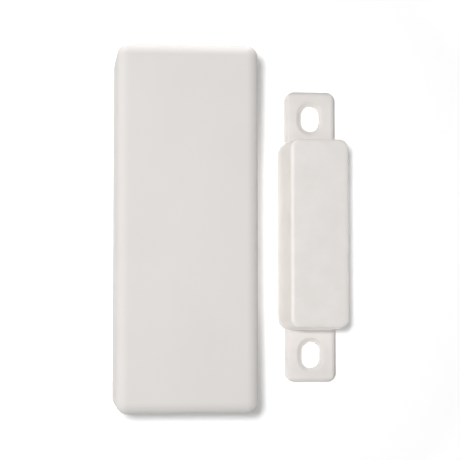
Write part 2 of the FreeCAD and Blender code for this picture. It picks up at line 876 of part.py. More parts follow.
def gull_lead(x, y_body, y_tip, z_exit):
    """One bent lead of a chip, leaving its side and standing on the board."""
    direction = math.copysign(1.0, y_tip - y_body)
    knee = y_body + (y_tip - y_body) * lead_knee_share
    left = x - chip_lead_width / 2.0
    t = lead_thickness
    inside = y_body - direction * lead_root
    profile = [
        Vec(left, inside, z_exit), Vec(left, inside, z_exit + t),
        Vec(left, knee + direction * t, z_exit + t), Vec(left, knee + direction * t, board_top + t),
        Vec(left, y_tip, board_top + t), Vec(left, y_tip, board_top),
        Vec(left, knee, board_top), Vec(left, knee, z_exit),
    ]
    return extruded(profile, Vec(chip_lead_width, 0, 0))


def chip_package(x, y, length, width, height, lead_span, leads_each_side):
    """Moulded chip along X with bent leads on its two long sides."""
    low = board_top + chip_standoff
    top = board_top + height
    body = box(x - length / 2.0, x + length / 2.0, y - width / 2.0, y + width / 2.0, low, top)
    body = body.makeChamfer(lead_thickness, edges_at_height(body, top))
    row = (leads_each_side - 1) * chip_lead_pitch
    leads = []
    for side in (-1, 1):
        for i in range(leads_each_side):
            lead_x = x - row / 2.0 + i * chip_lead_pitch
            leads.append(gull_lead(lead_x, y + side * width / 2.0, y + side * lead_span / 2.0,
                                   board_top + height / 2.0))
    return union([body] + leads)


def make_microcontroller():
    """Larger chip, under the negative end of the cell bay."""
    return chip_package(board_left + chip_inset_x, notch_low - chip_inset_y, chip_body_length,
                        chip_body_width, chip_height, chip_lead_span, chip_leads_each_side)


def make_radio_chip():
    """Smaller chip beside the aerial."""
    return chip_package(radio_x, radio_y, radio_body_length, radio_body_width, radio_height,
                        radio_lead_span, radio_leads_each_side)


def make_crystal():
    """Flat metal can of the quartz crystal, next to the radio chip's leads."""
    top = board_top + crystal_height
    y = radio_y - radio_lead_span / 2.0 - crystal_radio_gap - crystal_width / 2.0
    crystal = cut_corner_block(radio_x - crystal_aside, y, board_top, top, crystal_length,
                               crystal_width, crystal_corner)
    return crystal.makeChamfer(crystal_chamfer, edges_at_height(crystal, top))


def make_capacitor():
    """Surface-mount electrolytic can on its moulded foot."""
    x = board_right - capacitor_inset
    half = capacitor_foot / 2.0
    y = board_high - screw_inset - screw_head_radius - capacitor_screw_gap - half
    foot = box(x - half, x + half, y - half, y + half, board_top,
               board_top + capacitor_foot_height)
    cut_edges = [e for e in upright_edges(foot, capacitor_foot_height) if e.BoundBox.XMin > x]
    foot = foot.makeChamfer(capacitor_foot_chamfer, cut_edges)
    low = board_top + capacitor_foot_height - overlap
    top = board_top + capacitor_height
    can = rod(x, y, low, top, capacitor_radius)
    can = can.makeChamfer(capacitor_chamfer, edges_at_height(can, top))
    return union([foot, can])


def make_inductor():
    """Small moulded choke beside the learn button."""
    top = board_top + inductor_height
    choke = cut_corner_block(board_right - inductor_inset_x, board_low + inductor_inset_y,
                             board_top, top, inductor_side, inductor_side, inductor_corner)
    return choke.makeChamfer(inductor_chamfer, edges_at_height(choke, top))


def make_status_led():
    """Chip light with a clear dome, seen only with the cover off."""
    x = strip_left + led_inset_x
    y = board_high - led_inset_y
    low = board_top
    half_x = led_width / 2.0
    half_y = led_length / 2.0
    body = box(x - half_x, x + half_x, y - half_y, y + half_y, low, low + led_height)
    dome = rod_along_y(x, low + led_height, y - led_dome, y + led_dome, led_dome)
    return union([body, dome])


def chip_column(x, count, spacing, height):
    """Column of small chip parts, each lying along Y on the board strip."""
    parts = []
    for i in range(count):
        y = notch_low + first_chip_part + i * spacing
        parts.append(box(x - chip_part_width / 2.0, x + chip_part_width / 2.0,
                         y - chip_part_length / 2.0, y + chip_part_length / 2.0,
                         board_top, board_top + height))
    return Part.makeCompound(parts)


def make_chip_resistors():
    """Resistors along the strip beside the reed switch."""
    return chip_column(strip_left + resistor_inset, resistor_count, resistor_spacing,
                       resistor_height)


def make_chip_capacitors():
    """Ceramic capacitors between the resistors and the reed switch."""
    return chip_column(strip_left + ceramic_inset, ceramic_count, ceramic_spacing,
                       ceramic_height)


def magnet_cavity():
    """Drafted hollow of the magnet case, open at the back."""
    return hollow(magnet_x, magnet_y, 0, block_height - case_wall,
                  block_width - 2.0 * case_wall, block_length - 2.0 * case_wall,
                  case_inner_cut, block_draft)


def crush_ribs():
    """Ribs in the case that grip the magnet on its sides and ends."""
    ribs = []
    low = retainer_recess + retainer_thickness + retainer_gap
    grip_x = magnet_width / 2.0 + crush_rib_gap
    grip_y = magnet_length / 2.0 + crush_rib_gap
    wall_x = (block_width - case_wall) / 2.0
    wall_y = (block_length - case_wall) / 2.0
    half = crush_rib_thickness / 2.0
    for side in (-1, 1):
        for end in (-1, 1):
            y = magnet_y + end * crush_rib_spread / 2.0
            x0 = magnet_x + side * grip_x
            x1 = magnet_x + side * wall_x
            ribs.append(box(min(x0, x1), max(x0, x1), y - half, y + half, low, magnet_top))
        y0 = magnet_y + side * grip_y
        y1 = magnet_y + side * wall_y
        ribs.append(box(magnet_x - half, magnet_x + half, min(y0, y1), max(y0, y1), low,
                        magnet_top))
    return ribs


def screw_slot(y):
    """Slot through an ear, long along Y, with two half-round ends."""
    z = -overrun
    half = slot_length / 2.0 - slot_radius
    r = slot_radius
    upper = Part.Arc(Vec(magnet_x + r, y + half, z), Vec(magnet_x, y + half + r, z),
                     Vec(magnet_x - r, y + half, z)).toShape()
    lower = Part.Arc(Vec(magnet_x - r, y - half, z), Vec(magnet_x, y - half - r, z),
                     Vec(magnet_x + r, y - half, z)).toShape()
    left = Part.makeLine(Vec(magnet_x - r, y + half, z), Vec(magnet_x - r, y - half, z))
    right = Part.makeLine(Vec(magnet_x + r, y - half, z), Vec(magnet_x + r, y + half, z))
    outline = Part.Wire([upper, left, lower, right])
    return Part.Face(outline).extrude(Vec(0, 0, ear_thickness - 2.0 * z))


def make_magnet_case():
    """Moulded case: two slotted ears and a hollow drafted block."""
    ears = rounded_block(magnet_x, magnet_y, 0, ear_thickness, ear_width, case_length,
                         ear_corner_radius)
    ears = ears.makeChamfer(ear_edge_chamfer, edges_at_height(ears, ear_thickness))
    block = drafted_block(magnet_x, magnet_y, 0, block_height, block_width, block_length,
                          block_corner_radius, block_draft)
    block = block.makeFillet(block_edge_radius, edges_at_height(block, block_height))
    ribs = [rib.common(block) for rib in crush_ribs()]
    case = union([ears.fuse(block).cut(magnet_cavity())] + ribs)
    return case.cut(screw_slot(magnet_y + slot_y)).cut(screw_slot(magnet_y - slot_y))


def make_bar_magnet():
    """Plain sintered bar with broken edges."""
    bar = box(magnet_x - magnet_width / 2.0, magnet_x + magnet_width / 2.0,
              magnet_y - magnet_length / 2.0, magnet_y + magnet_length / 2.0,
              magnet_low, magnet_top)
    return bar.makeChamfer(magnet_chamfer, bar.Edges)


def make_magnet_retainer():
    """Push-in back plate whose two posts hold the magnet up."""
    low = retainer_recess
    top = low + retainer_thickness
    opening_x = block_width - 2.0 * (case_wall + retainer_gap)
    opening_y = block_length - 2.0 * (case_wall + retainer_gap)
    plate = cut_corner_block(magnet_x, magnet_y, low, top, opening_x, opening_y,
                             case_inner_cut)
    half = retainer_post_width / 2.0
    posts = []
    for side in (-1, 1):
        y = magnet_y + side * retainer_post_spread / 2.0
        posts.append(box(magnet_x - half, magnet_x + half, y - half, y + half, low,
                         magnet_low - crush_rib_gap))
    return union([plate] + posts)


def pieces():
    """Every separate piece, by the name of its node."""
    return {
        "base": make_base(),
        "cover": make_cover(),
        "circuit_board": make_circuit_board(),
        "board_screws": Part.makeCompound([make_board_screw(x, y) for x, y in screw_places]),
        "battery": make_battery(),
        "battery_clip_positive": make_positive_clip(),
        "battery_clip_negative": make_negative_clip(),
        "reed_glass": make_reed_glass(),
        "reed_lead_upper": make_reed_lead(1),
        "reed_lead_lower": make_reed_lead(-1),
        "tamper_spring": make_tamper_spring(),
        "learn_button_body": make_learn_button_body(),
        "learn_button": make_learn_button(),
        "terminal_block": make_terminal_block(),
        "terminal_screws": Part.makeCompound([make_terminal_screw(s) for s in (-1, 1)]),
        "terminal_clamps": Part.makeCompound([make_terminal_clamp(s) for s in (-1, 1)]),
        "aerial": make_aerial(),
        "microcontroller": make_microcontroller(),
        "radio_chip": make_radio_chip(),
        "crystal": make_crystal(),
        "electrolytic_capacitor": make_capacitor(),
        "inductor": make_inductor(),
        "status_led": make_status_led(),
        "chip_resistors": make_chip_resistors(),
        "chip_capacitors": make_chip_capacitors(),
        "magnet_case": make_magnet_case(),
        "bar_magnet": make_bar_magnet(),
        "magnet_retainer": make_magnet_retainer(),
    }


os.makedirs("parts", exist_ok=True)
for name, shape in pieces().items():
    shape.exportStep("parts/" + name + ".step")
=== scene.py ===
import math

import bmesh
import bpy
from mathutils import Matrix, Vector


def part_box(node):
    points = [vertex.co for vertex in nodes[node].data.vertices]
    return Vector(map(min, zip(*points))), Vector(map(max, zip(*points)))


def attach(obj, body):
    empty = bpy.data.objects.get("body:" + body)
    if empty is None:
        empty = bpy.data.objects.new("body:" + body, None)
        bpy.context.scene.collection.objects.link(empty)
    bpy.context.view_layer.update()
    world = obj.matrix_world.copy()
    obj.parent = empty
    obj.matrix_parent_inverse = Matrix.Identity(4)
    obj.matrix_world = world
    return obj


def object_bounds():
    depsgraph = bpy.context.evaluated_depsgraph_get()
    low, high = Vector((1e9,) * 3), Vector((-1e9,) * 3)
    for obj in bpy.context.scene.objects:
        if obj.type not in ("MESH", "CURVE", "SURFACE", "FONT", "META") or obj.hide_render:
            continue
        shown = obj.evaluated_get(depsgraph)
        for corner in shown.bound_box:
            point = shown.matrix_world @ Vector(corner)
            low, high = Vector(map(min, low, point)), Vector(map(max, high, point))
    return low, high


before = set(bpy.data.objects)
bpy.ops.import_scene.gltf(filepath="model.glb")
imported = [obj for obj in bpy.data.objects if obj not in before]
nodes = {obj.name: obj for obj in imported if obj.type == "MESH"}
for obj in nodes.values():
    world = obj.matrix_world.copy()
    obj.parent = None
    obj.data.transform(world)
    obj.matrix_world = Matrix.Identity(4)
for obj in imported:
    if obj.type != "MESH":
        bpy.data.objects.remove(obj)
cad_low, cad_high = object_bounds()

# One millimetre in the frame's metres
MM = 0.001

# Camera of the photograph: above and a little to the lower left, with a long lens
CAMERA_PLACE = Vector((-22.7, -17.5, 312.8)) * MM
CAMERA_AIM = Vector((11.47, 0.74, 0.0)) * MM
SENSOR_WIDTH = 36.0
FOCAL_PIXELS = 1352.1
PHOTO_WIDTH = 460.0

# Sockets of Blender's colour mix node
MIX_A = 6
MIX_B = 7
MIX_RESULT = 2

# Nearly all of Blender's noise lies between these values
BLOB_LOW = 0.3
BLOB_HIGH = 0.7

# Magnet case in millimetres, as its node was made: ears, block and slots
EAR_HALF = 5.85
EAR_TOP = 2.0
BLOCK_HALF = 22.0
SLOT_PLACE = 27.55
SLOT_RADIUS = 2.25
SLOT_STRAIGHT = 0.8

# Ears: bands of their painted shade and rolled rims as distances in from the outline in
# millimetres, where each band begins and ends, then how much painted shade darkens each part, and
# how deep the rims roll in
CORE_BAND = (2.6, 0.3)
RIM_BAND = (1.0, 0.1)
ROLL_BAND = (1.0, -0.3)
SLOT_ROLL = 1.1
FOOT_REACH = 4.0
CORE_SHARE = 0.05
RIM_SHARE = 0.07
FOOT_SHARE = 0.12
ROLL_DEPTH = 0.35

# A hair's breadth in millimetres, by which a mask clears the face that it ends on
HAIR = 0.05

# Small parts on the board in millimetres, as their nodes were made
CHIP_LENGTH = 1.6
RESISTORS = 6
RESISTOR_SPACING = 2.6
CERAMICS = 3
CERAMIC_SPACING = 5.2
SWITCH_HALF = 3.02
LEG_HEIGHT = 0.32
LEAD_PITCH = 0.65

# Print on the board in millimetres: how far it stands up, and how wide it is drawn; the bus
# is the row of tracks from chip to chip, each a step further out than the last
TRACK_RISE = 0.035
INK_RISE = 0.045
INK_WIDTH = 0.15
BUS_TRACKS = 4
BUS_WIDTH = 0.2
BUS_STEP = 0.45
SIGNAL_WIDTH = 0.3
RING_WIDTH = 0.35
LINK_WIDTH = 0.5
BRANCH_WIDTH = 0.6
SUPPLY_WIDTH = 0.7
AERIAL_WIDTH = 0.9

# Where the leads stand on the board, in millimetres in from the ends of their parts
REED_FOOT = 0.5
AERIAL_FOOT = 0.4

# Floor in metres: half its side, and how far it lies below the object
FLOOR_HALF = 3.0
FLOOR_GAP = 0.1 * MM

# Floor's looks: a very pale paint, lifted to white for the camera; it turns white by itself
# between two distances from the middle, in metres, where the lamp is too weak
WHITE = (1.0, 1.0, 1.0, 1.0)
FLOOR_PAINT = (0.98, 0.98, 0.98, 1.0)
FLOOR_LIFT = 0.185
FLOOR_SWEEP = (0.03, 0.2)

# Light from all sides, for soft faces and for mirroring ones: 1 makes a white diffuser white
WORLD_SOFT = 0.15
WORLD_MIRRORED = 0.55

# Lamp overhead: its level at the cover's face, its place and the size of its bright face
OVERHEAD_LEVEL = 0.79
OVERHEAD_PLACE = Vector((-55.0, 7.0, 363.0)) * MM
OVERHEAD_RADIUS = 19.0 * MM

# Reflectors: their rise above the floor and their spread, in degrees
REFLECTOR_RISE = 5.0
REFLECTOR_SPREAD = 25.0

# Beams of the cards in degrees: one that stays together, and one that spreads
NARROW_BEAM = 16.0
WIDE_BEAM = 90.0


def linear(hex_colour):
    """Linear colour of an sRGB hex value such as "E0DCD9"."""
    values = []
    for i in range(0, 6, 2):
        c = int(hex_colour[i:i + 2], 16) / 255.0
        values.append(c / 12.92 if c <= 0.04045 else ((c + 0.055) / 1.055) ** 2.4)
    return (*values, 1.0)


def add(tree, kind, values=None, output=0):
    """Adds one node: joins the values that are sockets, sets the others, gives one output."""
    node = tree.nodes.new(kind)
    for name, value in (values or {}).items():
        if isinstance(value, bpy.types.NodeSocket):
            tree.links.new(value, node.inputs[name])
        elif isinstance(name, int) or name in node.inputs:
            node.inputs[name].default_value = value
        else:
            setattr(node, name, value)
    return node.outputs[output] if node.outputs else None


def new_material(name):
    """Empty material with its node tree."""
    material = bpy.data.materials.new(name)
    material.use_nodes = True
    material.node_tree.nodes.clear()
    return material, material.node_tree


def place_along(tree, axis):
    """Place on the object along one axis in metres, which moves with the piece."""
    place = add(tree, "ShaderNodeTexCoord", output="Object")
    return add(tree, "ShaderNodeSeparateXYZ", {0: place}, axis)


def beyond(tree, axis, limit_mm, above=True):
    """Mask that is 1 past a limit along one axis of the object."""
    operation = "GREATER_THAN" if above else "LESS_THAN"
    return add(tree, "ShaderNodeMath",
               {"operation": operation, 0: place_along(tree, axis), 1: limit_mm * MM})


def between(tree, axis, low_mm, high_mm):
    """Mask that is 1 between two limits along one axis of the object."""
    return add(tree, "ShaderNodeMath",
               {"operation": "COMPARE", 0: place_along(tree, axis),
                1: (low_mm + high_mm) / 2.0 * MM, 2: (high_mm - low_mm) / 2.0 * MM})


def outside(tree, axis, low_mm, high_mm):
    """Mask that is 1 below the first limit and above the second."""
    return add(tree, "ShaderNodeMath",
               {"operation": "SUBTRACT", 0: 1.0, 1: between(tree, axis, low_mm, high_mm)})


def drift(tree, size_mm, low, high):
    """Number that wanders from low to high over blobs about size_mm across on the object."""
    place = add(tree, "ShaderNodeTexCoord", output="Object")
    blobs = add(tree, "ShaderNodeTexNoise",
                {"Vector": place, "Scale": 1.0 / (size_mm * MM), "Detail": 2.0,
                 "Roughness": 0.55}, "Fac")
    return add(tree, "ShaderNodeMapRange",
               {"Value": blobs, "From Min": BLOB_LOW, "From Max": BLOB_HIGH,
                "To Min": low, "To Max": high}, "Result")


def two_tone(tree, pale, deep, patch_mm):
    """Colour that wanders between two hex tones over patches of a size."""
    return add(tree, "ShaderNodeMix",
               {"data_type": "RGBA", 0: drift(tree, patch_mm, 0.0, 1.0),
                MIX_A: linear(pale), MIX_B: linear(deep)}, MIX_RESULT)


def skin(tree, grain_mm, depth_mm):
    """Fine grain that stands up by its depth."""
    return add(tree, "ShaderNodeBump",
               {"Height": drift(tree, grain_mm, BLOB_LOW, BLOB_HIGH), "Strength": 1.0,
                "Distance": depth_mm * MM})


def surface(name, pale, deep, patch_mm, grain_mm, depth_mm, rough, uneven, **shader_values):
    """Material that wanders between two tones, under a grain and an uneven shine."""
    material, tree = new_material(name)
    shader = add(tree, "ShaderNodeBsdfPrincipled",
                 {"Base Color": two_tone(tree, pale, deep, patch_mm),
                  "Roughness": drift(tree, 2.0 * patch_mm, rough - uneven, rough + uneven),
                  "Normal": skin(tree, grain_mm, depth_mm), **shader_values})
    add(tree, "ShaderNodeOutputMaterial", {"Surface": shader})
    return material


def shader_of(material):
    """Shader node of a material."""
    return next(n for n in material.node_tree.nodes if n.type == "BSDF_PRINCIPLED")


def recolour(material, mask, colour):
    """Gives a material another colour where the mask is 1."""
    tree = material.node_tree
    base = shader_of(material).inputs["Base Color"]
    both = add(tree, "ShaderNodeMix",
               {"data_type": "RGBA", 0: mask, MIX_A: base.links[0].from_socket, MIX_B: colour},
               MIX_RESULT)
    tree.links.new(both, base)


def bare_metal(material, mask, pale="D8D6D0", deep="BDBAB3", shine=0.3):
    """Gives a material tinned metal where the mask is 1."""
    tree = material.node_tree
    shader = shader_of(material)
    recolour(material, mask, two_tone(tree, pale, deep, 0.6))
    rough = shader.inputs["Roughness"].links[0].from_socket
    smooth = add(tree, "ShaderNodeMix",
                 {"data_type": "FLOAT", "Factor": mask, "A": rough, "B": shine})
    tree.links.new(smooth, shader.inputs["Roughness"])
    tree.links.new(mask, shader.inputs["Metallic"])
    return material


def moulded_abs():
    """ABS from a spark-eroded mould: an even off-white with a fine matt skin."""
    # The real texture is about 0.1 mm across; it is drawn at 0.35 mm so that it shows
    return surface("moulded_abs", "E0DCD9", "DEDAD7", patch_mm=14.0, grain_mm=0.35,
                   depth_mm=0.006, rough=0.62, uneven=0.03, IOR=1.53,
                   **{"Specular IOR Level": 0.25})


def near_outline(tree, aside, along, end_mm, band_mm):
    """Mask that rises over a band inside an ear's outline."""
    far_mm, near_mm = band_mm
    rises = [add(tree, "ShaderNodeMapRange",
                 {"interpolation_type": "SMOOTHSTEP", "Value": distance,
                  "From Min": (edge - far_mm) * MM, "From Max": (edge - near_mm) * MM}, "Result")
             for distance, edge in ((aside, EAR_HALF), (along, end_mm))]
    return add(tree, "ShaderNodeMath", {"operation": "MAXIMUM", 0: rises[0], 1: rises[1]})


def near_slot(tree, distance):
    """Mask that is 1 at a slot's rim and falls to 0 over SLOT_ROLL beyond it."""
    reach = distance
    for operation, amount in (("SUBTRACT", Vector((0.0, SLOT_PLACE, 0.0)) * MM),
                              ("ABSOLUTE", Vector()),
                              ("SUBTRACT", Vector((0.0, SLOT_STRAIGHT, 0.0)) * MM),
                              ("MAXIMUM", Vector()),
                              ("MULTIPLY", Vector((1.0, 1.0, 0.0)))):
        reach = add(tree, "ShaderNodeVectorMath", {"operation": operation, 0: reach, 1: amount})
    length = add(tree, "ShaderNodeVectorMath", {"operation": "LENGTH", 0: reach}, "Value")
    return add(tree, "ShaderNodeMapRange",
               {"interpolation_type": "SMOOTHSTEP", "Value": length,
                "From Min": SLOT_RADIUS * MM, "From Max": (SLOT_RADIUS + SLOT_ROLL) * MM,
                "To Min": 1.0, "To Max": 0.0}, "Result")


def paint_ear_shade_and_roll_rims(material):
    """Paints shade on the ears in their middle, at their rims and at the block's foot, and rolls
    their moulded rims in.
    """
    tree = material.node_tree
    low, high = box_mm("magnet_case")
    middle = (low + high) / 2.0
    end = high.y - middle.y
    place = add(tree, "ShaderNodeTexCoord", output="Object")
    offset = add(tree, "ShaderNodeVectorMath",
                 {"operation": "SUBTRACT", 0: place, 1: Vector((middle.x, middle.y, 0.0)) * MM})
    distance = add(tree, "ShaderNodeVectorMath", {"operation": "ABSOLUTE", 0: offset})
    aside = add(tree, "ShaderNodeSeparateXYZ", {0: distance}, "X")
    along = aside.node.outputs["Y"]
    clear = add(tree, "ShaderNodeMath",
                {"operation": "GREATER_THAN", 0: along, 1: BLOCK_HALF * MM})
    on_ear = add(tree, "ShaderNodeMath",
                 {"operation": "MULTIPLY", 0: clear,
                  1: beyond(tree, "Z", EAR_TOP + HAIR, above=False)})

    # Painted shade: the ear is darker in its middle, at its rims and, on the upper one, at the
    # block's foot
    foot = add(tree, "ShaderNodeMapRange",
               {"interpolation_type": "SMOOTHSTEP", "Value": along,
                "From Min": (BLOCK_HALF + FOOT_REACH) * MM, "From Max": BLOCK_HALF * MM}, "Result")
    upper_foot_shade = add(tree, "ShaderNodeMath",
                     {"operation": "MULTIPLY", 0: foot, 1: beyond(tree, "Y", middle.y)})
    shade = CORE_SHARE
    for mask, share in ((near_outline(tree, aside, along, end, CORE_BAND), -CORE_SHARE),
                        (near_outline(tree, aside, along, end, RIM_BAND), RIM_SHARE),
                        (upper_foot_shade, FOOT_SHARE)):
        shade = add(tree, "ShaderNodeMath",
                    {"operation": "MULTIPLY_ADD", 0: mask, 1: share, 2: shade})
    recolour(material, add(tree, "ShaderNodeMath", {"operation": "MULTIPLY", 0: shade, 1: on_ear}),
             linear("807A75"))

    rims = add(tree, "ShaderNodeMath",
               {"operation": "MAXIMUM", 0: near_slot(tree, distance),
                1: near_outline(tree, aside, along, end, ROLL_BAND)})
    dip = add(tree, "ShaderNodeMath", {"operation": "MULTIPLY", 0: rims, 1: on_ear})
    normal = shader_of(material).inputs["Normal"]
    rolled = add(tree, "ShaderNodeBump",
                 {"invert": True, "Height": dip, "Strength": 1.0, "Distance": ROLL_DEPTH * MM,
                  "Normal": normal.links[0].from_socket})
    tree.links.new(rolled, normal)


def thin_moulded_abs():
    """The same ABS in a thinner moulding: its rims pass light, and its ears get painted shade and
    rolled rims.
    """
    # The faint cloudy patches are the melt's flow marks, some 5 mm across
    material = surface("thin_moulded_abs", "EAE6E3", "E5E1DD", patch_mm=5.0, grain_mm=0.35,
                       depth_mm=0.006, rough=0.6, uneven=0.04, IOR=1.53,
                       **{"Subsurface Weight": 0.06, "Subsurface Scale": 1.2 * MM,
                          "Subsurface Radius": (1.0, 0.95, 0.9), "Specular IOR Level": 0.25})
    paint_ear_shade_and_roll_rims(material)
    return material


def masked_laminate():
    """Glass-epoxy board under green solder mask: glossy, with the weave faintly raised."""
    # The weave's threads are 0.4 mm apart
    material = surface("masked_laminate", "1E6B3A", "185C31", patch_mm=3.0, grain_mm=0.4,
                       depth_mm=0.01, rough=0.3, uneven=0.05, IOR=1.5,
                       **{"Coat Weight": 0.3, "Coat Roughness": 0.15})
    low, high = box_mm("circuit_board")
    tree = material.node_tree
    mask = 0.06
    # The cut edge between the two coats of mask shows the bare laminate
    recolour(material, between(tree, "Z", low.z + mask, high.z - mask),
             two_tone(tree, "B9A66B", "A08F58", 0.3))
    return material


def masked_copper():
    """Copper tracks under the same mask: a lighter green."""
    return surface("masked_copper", "3F9257", "37854E", patch_mm=1.5, grain_mm=0.4,
                   depth_mm=0.006, rough=0.3, uneven=0.05, IOR=1.5)


def board_ink():
    """White ink screened on the board: slightly chalky."""
    return surface("board_ink", "E9E9E2", "D9D9D0", patch_mm=0.8, grain_mm=0.1, depth_mm=0.004,
                   rough=0.6, uneven=0.05, IOR=1.5)


def reflowed_solder():
    """Tin solder: bright, with a slightly frosted skin."""
    return surface("reflowed_solder", "D9D9D6", "C2C2BE", patch_mm=0.5, grain_mm=0.12,
                   depth_mm=0.008, rough=0.25, uneven=0.08, Metallic=1.0)


def zinc_plated_steel():
    """Bright zinc on turned screws: pale grey with faint tool marks."""
    return surface("zinc_plated_steel", "C9CBCC", "B3B5B6", patch_mm=0.8, grain_mm=0.15,
                   depth_mm=0.006, rough=0.3, uneven=0.08, Metallic=1.0)


def nickel_plated_spring_steel():
    """Rolled strip, stamped and nickel plated: warm grey, fairly bright."""
    return surface("nickel_plated_spring_steel", "CCC8C0", "C0BCB4", patch_mm=2.5, grain_mm=0.25,
                   depth_mm=0.001, rough=0.24, uneven=0.04, Metallic=1.0)


def sleeved_cell():
    """Nickel-plated can in a plain satin shrink sleeve with a dark band, bare at both ends."""
    low, high = box_mm("battery")
    band_foot = high.y - 8.0
    bare_end = 1.5
    material = surface("sleeved_cell", "B9BDC2", "AEB2B8", patch_mm=6.0, grain_mm=0.5,
                       depth_mm=0.01, rough=0.35, uneven=0.05, IOR=1.5)
    tree = material.node_tree
    recolour(material, beyond(tree, "Y", band_foot), two_tone(tree, "4A5563", "424C59", 6.0))
    ends = outside(tree, "Y", low.y + bare_end, high.y - bare_end)
    return bare_metal(material, ends, "CFCDC8", "BFBCB6", shine=0.22)


def sealing_glass():
    """Lead glass drawn into a tube: clear with a faint green cast."""
    material, tree = new_material("sealing_glass")
    shader = add(tree, "ShaderNodeBsdfPrincipled",
                 {"Base Color": two_tone(tree, "E4F3E9", "D8ECDF", 3.0), "Roughness": 0.03,
                  "IOR": 1.52, "Transmission Weight": 1.0, "Normal": skin(tree, 1.2, 0.01)})
    add(tree, "ShaderNodeOutputMaterial", {"Surface": shader})
    return material


def tinned_nickel_iron():
    """Nickel-iron leads dipped in tin: grey and satin."""
    return surface("tinned_nickel_iron", "CFCBC3", "B8B4AB", patch_mm=0.9, grain_mm=0.12,
                   depth_mm=0.004, rough=0.28, uneven=0.06, Metallic=1.0)


def switch_nylon():
    """Black nylon switch body with tinned legs at its foot."""
    low, high = box_mm("learn_button_body")
    middle = (low.x + high.x) / 2.0
    material = surface("switch_nylon", "1C1C1E", "161617", patch_mm=1.5, grain_mm=0.2,
                       depth_mm=0.006, rough=0.5, uneven=0.05, IOR=1.53)
    tree = material.node_tree
    aside = outside(tree, "X", middle - SWITCH_HALF, middle + SWITCH_HALF)
    near_board = beyond(tree, "Z", low.z + LEG_HEIGHT, above=False)
    legs = add(tree, "ShaderNodeMath", {"operation": "MULTIPLY", 0: aside, 1: near_board})
    return bare_metal(material, legs)


def plunger_nylon():
    """Black nylon plunger, a little shinier than the switch body."""
    return surface("plunger_nylon", "232325", "1B1B1D", patch_mm=1.0, grain_mm=0.15,
                   depth_mm=0.004, rough=0.38, uneven=0.05, IOR=1.53)


def terminal_polyamide():
    """Green polyamide moulding with a dry, slightly waxy skin."""
    return surface("terminal_polyamide", "3E9A5B", "358A50", patch_mm=2.0, grain_mm=0.25,
                   depth_mm=0.008, rough=0.42, uneven=0.05, IOR=1.53)


def tinned_brass():
    """Folded brass cage, tin plated: pale with a trace of yellow."""
    return surface("tinned_brass", "D6CFB8", "C2BAA0", patch_mm=0.9, grain_mm=0.12,
                   depth_mm=0.004, rough=0.3, uneven=0.06, Metallic=1.0)


def tinned_copper():
    """Tinned copper strip: silvery, going warm where the tin is thin."""
    return surface("tinned_copper", "D9D3C8", "CBB9A6", patch_mm=1.6, grain_mm=0.15,
                   depth_mm=0.004, rough=0.28, uneven=0.06, Metallic=1.0)


def chip_epoxy(node, body_half_mm):
    """Moulded black epoxy, matt from its mould, with tinned leads on two sides."""
    middle = middle_mm(node).y
    material = surface("chip_epoxy_" + node, "26262A", "1D1D20", patch_mm=1.0, grain_mm=0.12,
                       depth_mm=0.008, rough=0.55, uneven=0.05, IOR=1.55)
    ends = outside(material.node_tree, "Y", middle - body_half_mm, middle + body_half_mm)
    return bare_metal(material, ends)


def drawn_nickel_can():
    """Drawn and nickel-plated lid of the crystal: bright and nearly smooth."""
    return surface("drawn_nickel_can", "D2D0CA", "C3C1BB", patch_mm=1.5, grain_mm=0.2,
                   depth_mm=0.003, rough=0.2, uneven=0.05, Metallic=1.0)


def drawn_aluminium_can():
    """Drawn aluminium can on a black moulded foot, with a dark mark on its negative side."""
    low, high = box_mm("electrolytic_capacitor")
    material = surface("drawn_aluminium_can", "1B1B1D", "151516", patch_mm=1.0, grain_mm=0.15,
                       depth_mm=0.006, rough=0.5, uneven=0.05, IOR=1.53)
    tree = material.node_tree
    mark_edge = (low.x + high.x) / 2.0 - 0.9
    foot_top = low.z + 0.9
    marked = add(tree, "ShaderNodeMath",
                 {"operation": "MULTIPLY", 0: beyond(tree, "X", mark_edge, above=False),
                  1: beyond(tree, "Z", high.z - HAIR)})
    bare = add(tree, "ShaderNodeMath",
               {"operation": "SUBTRACT", 0: beyond(tree, "Z", foot_top), 1: marked})
    return bare_metal(material, bare, "D3D5D7", "C6C8CA", shine=0.28)


def choke_ferrite():
    """Pressed ferrite in moulding compound: dark grey and dull."""
    return surface("choke_ferrite", "3A3A3D", "303033", patch_mm=0.6, grain_mm=0.15,
                   depth_mm=0.01, rough=0.65, uneven=0.05, IOR=1.55)


def led_resin():
    """White carrier below, clear resin above with a warm cast from the phosphor."""
    material = surface("led_resin", "F0EFE9", "E6E4DC", patch_mm=0.6, grain_mm=0.1,
                       depth_mm=0.003, rough=0.3, uneven=0.04, IOR=1.53,
                       **{"Coat Weight": 0.4, "Coat Roughness": 0.05})
    lens_foot = box_mm("status_led")[0].z + 0.81
    recolour(material, beyond(material.node_tree, "Z", lens_foot), linear("E3D48C"))
    return material


def end_capped(name, node, count, spacing_mm, body_mm, pale, deep):
    """Small chip parts in a column: ceramic in the middle of each, tinned at its two ends."""
    first = box_mm(node)[0].y + CHIP_LENGTH / 2.0
    material = surface(name, pale, deep, patch_mm=0.5, grain_mm=0.1, depth_mm=0.004, rough=0.45,
                       uneven=0.05, IOR=1.6)
    tree = material.node_tree
    ends = 1.0
    for i in range(count):
        middle = first + i * spacing_mm
        caps = outside(tree, "Y", middle - body_mm / 2.0, middle + body_mm / 2.0)
        ends = add(tree, "ShaderNodeMath", {"operation": "MULTIPLY", 0: caps, 1: ends})
    return bare_metal(material, ends)


def sintered_ferrite():
    """Sintered ferrite bar, ground on its faces: near black with fine pits."""
    return surface("sintered_ferrite", "343436", "28282A", patch_mm=1.2, grain_mm=0.2,
                   depth_mm=0.02, rough=0.55, uneven=0.06, Metallic=0.3)


